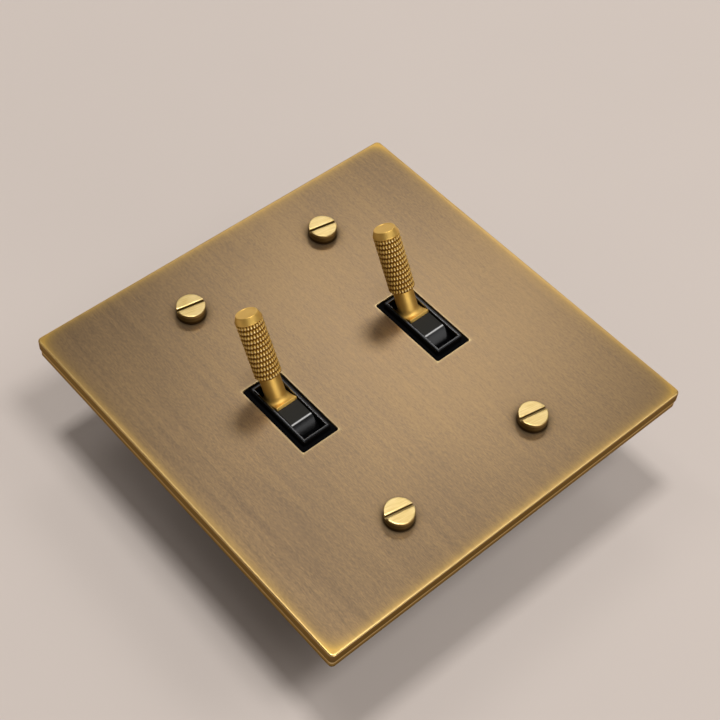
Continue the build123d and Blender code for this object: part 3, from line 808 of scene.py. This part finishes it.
def screwTurns(spec):
    start = math.asin(spec["slotWidth"] / 2 / spec["headRadius"])
    arcs, gaps = range(spec["arcSteps"] + 1), range(1, spec["gapSteps"])
    turns = []
    for half in (0, math.pi):
        turns.extend(half + start + (math.pi - 2 * start) * i / spec["arcSteps"] for i in arcs)
        turns.extend(half + math.pi - start + 2 * start * i / spec["gapSteps"] for i in gaps)
    return turns


def screwBlank(name, spec, length):
    turns = screwTurns(spec)
    top, bend = spec["headHeight"], spec["edge"]
    floorHeight = top - spec["slotDepth"]
    chamfer, shank, arcEnd = spec["pointChamfer"], spec["shankRadius"], spec["arcSteps"]
    rings = [circle(radius, -length, turns) for radius in (pinpoint, shank - chamfer)]
    threadLength = length - chamfer - spec["neckLength"]
    steps = max(1, round(threadLength / spec["threadPitch"] * spec["stepsPerThread"]))
    for i in range(steps + 1):
        rings.append(circle(shank, -length + chamfer + i / steps * threadLength, turns))
    rings.append(circle(spec["neckRadius"], -spec["neckLength"], turns))
    rings.append(circle(spec["neckRadius"], 0, turns))
    rings.append(circle(spec["headRadius"] - bend / 3, 0, turns))
    for height in (bend / 3, floorHeight * spec["shadeStep"], floorHeight):
        rings.append(circle(spec["headRadius"], height, turns))
    draft = Draft()
    firstSide = len(rings) - len(spec["sideShades"]) - 1
    loops = draft.walls(rings, dict(enumerate(spec["sideShades"], firstSide)))
    draft.face(reversed(loops[0]))

    def onWall(index):
        return spec["slotWallShade"] if index >= arcEnd else spec["upperShade"]

    outlines = [(0, floorHeight), (0, top - bend)]
    for lean in quarterTurns(spec["edgeSteps"])[1:]:
        outlines.append((bend * (1 - math.cos(lean)), top - bend * (1 - math.sin(lean))))
    outlines.append((bend * spec["flatStart"], top))
    slotFloor = []
    for side, gapStart in ((1, arcEnd + 1), (-1, 2 * arcEnd + spec["gapSteps"] + 1)):
        halfLoops = [draft.ring(halfHead(spec, inset, height, side)) for inset, height in outlines]
        base = halfLoops[0]
        draft.wall(base, halfLoops[1], onWall)
        for lower, upper in zip(halfLoops[1:], halfLoops[2:]):
            draft.wall(lower, upper)
        draft.face(halfLoops[-1])
        slotFloor.extend([base[0], *reversed(base[arcEnd + 1:]), base[arcEnd]])
        slotFloor.extend(loops[-1][gapStart:gapStart + spec["gapSteps"] - 1])
    draft.face(slotFloor, spec["slotFloorShade"])
    return draft.piece(name, sharpAngle=30)


# puts a screw on each point, turned as the point says, with a thread rolled on its shank
def screwTree():
    bench, sizes = geometryTree("screws", {
        "Screw": "Object", "Thread Pitch": "Float", "Thread Depth": "Float",
        "Thread Top": "Float", "Thread Bottom": "Float", "Finish": "Material",
    })
    blank = bench.node("GeometryNodeObjectInfo", {}, {"Object": sizes["Screw"]})[4]
    x, y, z, radius = roundPlace(bench)
    phase = x.math("FRACT", z / sizes["Thread Pitch"] - x.math("ARCTAN2", y, x) * (0.5 / math.pi))
    cut = abs(phase * 2 - 1).ramp(*plateScrew["threadFlank"])
    onThread = (z < sizes["Thread Top"]) * (z > sizes["Thread Bottom"])
    threaded = spreadOut(bench, blank, x, y, cut * onThread * sizes["Thread Depth"] / radius * -1)
    asVector = {"data_type": "FLOAT_VECTOR"}
    turn = bench.node("GeometryNodeInputNamedAttribute", asVector, {"Name": "turn"})[0]
    placed = bench.node("GeometryNodeInstanceOnPoints", {}, {
        "Points": sizes["Geometry"],
        "Instance": threaded,
        "Rotation": bench.node("FunctionNodeEulerToRotation", {}, {"Euler": turn})[0],
    })[0]
    return endTree(bench, placed, sizes["Finish"])


screws = screwTree()


# a group of screws with their heads' undersides at these places, facing these ways
def setScrews(name, spec, length, places, facings, finish):
    blank = screwBlank(name + "_blank", spec, length)
    mesh = bpy.data.meshes.new(name)
    mesh.from_pydata(places, [], [])
    spin = Quaternion((0, 0, 1), math.radians(spec["slotTurn"]))
    turns = [tuple((Vector(facing).to_track_quat("Z", "Y") @ spin).to_euler()) for facing in facings]
    turn = mesh.attributes.new("turn", "FLOAT_VECTOR", "POINT")
    turn.data.foreach_set("vector", [angle for euler in turns for angle in euler])
    piece = bpy.data.objects.new(name, mesh)
    bpy.context.scene.collection.objects.link(piece)
    slack = 0.01  # mm, keeps the thread off both ends of the shank
    bakeTree(piece, screws, {
        "Screw": blank,
        "Thread Pitch": spec["threadPitch"] * mm,
        "Thread Depth": spec["threadDepth"] * mm,
        "Thread Top": -(spec["neckLength"] + slack) * mm,
        "Thread Bottom": (spec["pointChamfer"] - length + slack) * mm,
        "Finish": finishes[finish],
    })
    bpy.data.objects.remove(blank)
    return piece


def placePlateScrews():
    low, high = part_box("plate_screws")
    x, y = (reach - plateScrew["headRadius"] * mm for reach in (high.x, high.y))
    seat = high.z - plateScrew["headHeight"] * mm
    places = [(sideX * x, sideY * y, seat) for sideX in (-1, 1) for sideY in (-1, 1)]
    facings = [(0, 0, 1)] * len(places)
    length = (seat - low.z) / mm
    piece = setScrews("slotted_plate_screws", plateScrew, length, places, facings, "screwBrass")
    mount(piece, "frame", "satin_brass", "plate_screws")


def placeEarthScrew():
    low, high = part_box("earth_screw")
    seat = low.z + smallScrew["headHeight"] * mm
    places = [((low.x + high.x) / 2, (low.y + high.y) / 2, seat)]
    length = (high.z - seat) / mm
    piece = setScrews("slotted_earth_screw", smallScrew, length, places, [(0, 0, -1)], "zincSteel")
    mount(piece, "frame", "steel", "earth_screw")


def placeModuleScrews(gang):
    low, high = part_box(gang + "_module_screws")
    radius, head = smallScrew["headRadius"] * mm, smallScrew["headHeight"] * mm
    seat = low.z + head
    places = [(pivots[gang].x, y, seat) for y in (low.y + radius, high.y - radius)]
    facings = [(0, 0, -1)] * len(places)
    name, length = gang + "_slotted_module_screws", (high.z - seat) / mm
    piece = setScrews(name, smallScrew, length, places, facings, "zincSteel")
    mount(piece, "frame", "steel", gang + "_module_screws")


def placeTerminalScrews(gang):
    low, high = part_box(gang + "_terminal_screws")
    x = pivots[gang].x
    radius, head = smallScrew["headRadius"] * mm, smallScrew["headHeight"] * mm
    upper, lower = high.z - radius, low.z + radius
    places = [(x, high.y - head, upper), (x, low.y + head, upper), (high.x - head, 0, lower)]
    facings = [(0, 1, 0), (0, -1, 0), (1, 0, 0)]
    name, length = gang + "_slotted_terminal_screws", smallScrew["terminalShank"]
    piece = setScrews(name, smallScrew, length, places, facings, "zincSteel")
    mount(piece, "frame", "steel", gang + "_terminal_screws")


placePlateScrews()
placeEarthScrew()
for gang in gangs:
    placeModuleScrews(gang)
    placeTerminalScrews(gang)


# Coil spring between the cradle and its plunger
coil = {"wire": 0.5, "radius": 1.55, "turns": 4.0, "stepsPerTurn": 40, "wireSteps": 12}


def springTree():
    bench, sizes = geometryTree("coil", {
        "Turns": "Float", "Steps": "Int", "Radius": "Float", "Height": "Float",
        "Wire Radius": "Float", "Wire Steps": "Int", "Finish": "Material",
    })
    path = bench.node("GeometryNodeCurveSpiral", {}, {
        "Resolution": sizes["Steps"], "Rotations": sizes["Turns"], "Start Radius": sizes["Radius"],
        "End Radius": sizes["Radius"], "Height": sizes["Height"],
    })[0]
    section = bench.node("GeometryNodeCurvePrimitiveCircle", {}, {
        "Resolution": sizes["Wire Steps"], "Radius": sizes["Wire Radius"],
    })[0]
    wire = bench.node("GeometryNodeCurveToMesh", {}, {
        "Curve": path, "Profile Curve": section, "Fill Caps": True,
    })[0]
    return endTree(bench, wire, sizes["Finish"])


spiral = springTree()
for gang in gangs:
    low, high = alongLever(gang, gang + "_spring")
    piece = bpy.data.objects.new(gang + "_coil_spring", bpy.data.meshes.new("coil"))
    bpy.context.scene.collection.objects.link(piece)
    bakeTree(piece, spiral, {
        "Turns": coil["turns"],
        "Steps": coil["stepsPerTurn"],
        "Radius": coil["radius"] * mm,
        "Height": (high - low - coil["wire"]) * mm,
        "Wire Radius": coil["wire"] / 2 * mm,
        "Wire Steps": coil["wireSteps"],
        "Finish": finishes["zincSteel"],
    })
    piece.data.transform(leverPlace(gang) @ Matrix.Translation((0, 0, (low + coil["wire"] / 2) * mm)))
    piece.data.shade_smooth()
    mount(piece, gang + "_toggle", "steel", gang + "_spring")
    travel = joints[gang + "_plunger_slide"]["range_m"][1] / mm
    pivots[gang] + leverUp * high * mm
    1 - travel / (high - low)
    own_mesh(piece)


# Which finish each kind of CAD piece wears
nodeFinishes = {
    "front_plate": "frontBrass",
    "back_plate": "backBrass",
    "plate_screws": "screwBrass",
    "lever": "leverBrass",
    "bezel": "bezelBlack",
    "cradle": "cradleBlack",
    "housing": "housingBlack",
    "plunger": "plungerIvory",
    "contacts": "contactSilver",
    "contact_rocker": "stripBrass",
    "terminal": "stripBrass",
    "earth_clamp": "stripBrass",
    "screws": "zincSteel",
    "screw": "zincSteel",
    "pin": "zincSteel",
    "spring": "zincSteel",
}
for name, node in frame["nodes"].items():
    kind = next(kind for kind in nodeFinishes if name.endswith(kind))
    node.data.materials.clear()
    node.data.materials.append(finishes[nodeFinishes[kind]])
print("finishes on the pieces")


# Pale floor under the switch, lamps and camera; places in mm
stage = {
    "floorSide": 7000,
    "floorColour": (0.63, 0.555, 0.505),
    "floorRoughness": 0.85,
    "floorSpecular": 0.2,
    "mottle": (70, 70, 70),
    "mottleDark": 0.93,
    "mottleShare": 0.5,
    "world": (1.0, 0.83, 0.69),
    "worldLight": 0.12,
    "lampAim": (0, 0, 5),
    "lampDistance": 4,  # times the places and sizes below, so that the light reaches far over the floor
}
lamps = {
    "overheadBack": {"place": (14, 115, 888), "size": (140, 140), "power": 3.0},
    "edgeBox": {"place": (-135, 420, 782), "size": (90, 330), "power": 0.42},
    "overheadFront": {"place": (110, -325, 840), "size": (210, 210), "power": 2.7},
    "sideBox": {"place": (357, -350, 522), "size": (240, 240), "power": 0.55},
    "sheenBox": {"place": (414, 387, 699), "size": (250, 130), "power": 0.42},
    "frontCard": {"place": (-90, -900, 130), "size": (700, 300), "power": 1.9},
    "backCard": {"place": (390, 820, 170), "size": (700, 400), "power": 0.7},
    "rightCard": {"place": (860, 250, 200), "size": (600, 320), "power": 1.0},
    "viewCard": {"place": (-400, -540, 600), "size": (600, 600), "power": 0.25},
}
photoView = {"eye": (-169.9, -175.3, 320.3), "aim": (1.62, 1.01, 5.8), "roll": 4.02, "lens": 75.91}


def makeFloor():
    half = stage["floorSide"] / 2
    low = cadBox[0].z / mm
    draft = Draft()
    corners = [(-half, -half, low), (half, -half, low), (half, half, low), (-half, half, low)]
    draft.face(draft.ring(corners))
    floor = draft.piece("floor")
    material, bench, place = startFinish("floorFinish")
    mottle = (bench.noise(place, stage["mottle"], 3.0) + 0.5) * stage["mottleShare"]
    darker = tuple(part * stage["mottleDark"] for part in stage["floorColour"])
    endFinish(bench, {
        "Base Color": bench.mixed(mottle, stage["floorColour"], darker),
        "Roughness": stage["floorRoughness"],
        "Specular IOR Level": stage["floorSpecular"],
    })
    floor.data.materials.append(material)


def aimed(place, aim):
    return (Vector(aim) - Vector(place)).to_track_quat("-Z", "Y")


def makeLamps():
    scale = stage["lampDistance"]
    for name, spec in lamps.items():
        data = bpy.data.lights.new(name, "AREA")
        data.shape = "RECTANGLE"
        data.size, data.size_y = (side * scale * mm for side in spec["size"])
        data.energy = spec["power"] * scale**2
        lamp = bpy.data.objects.new(name, data)
        lamp.location = Vector(spec["place"]) * scale * mm
        lamp.rotation_mode = "QUATERNION"
        lamp.rotation_quaternion = aimed(spec["place"], stage["lampAim"])
        bpy.context.scene.collection.objects.link(lamp)
    world = bpy.data.worlds.new("studio")
    world.use_nodes = True
    light = world.node_tree.nodes["Background"]
    light.inputs["Color"].default_value = (*stage["world"], 1)
    light.inputs["Strength"].default_value = stage["worldLight"]
    bpy.context.scene.world = world


def makeCamera():
    data = bpy.data.cameras.new("camera")
    data.lens = photoView["lens"]
    data.clip_start = 0.01  # m
    camera = bpy.data.objects.new("camera", data)
    camera.location = Vector(photoView["eye"]) * mm
    camera.rotation_mode = "QUATERNION"
    roll = Quaternion((0, 0, 1), math.radians(photoView["roll"]))
    camera.rotation_quaternion = aimed(photoView["eye"], photoView["aim"]) @ roll
    bpy.context.scene.collection.objects.link(camera)
    bpy.context.scene.camera = camera


makeFloor()
makeLamps()
makeCamera()
bpy.context.scene.view_settings.view_transform = "Standard"
print("stage, lamps and camera set")
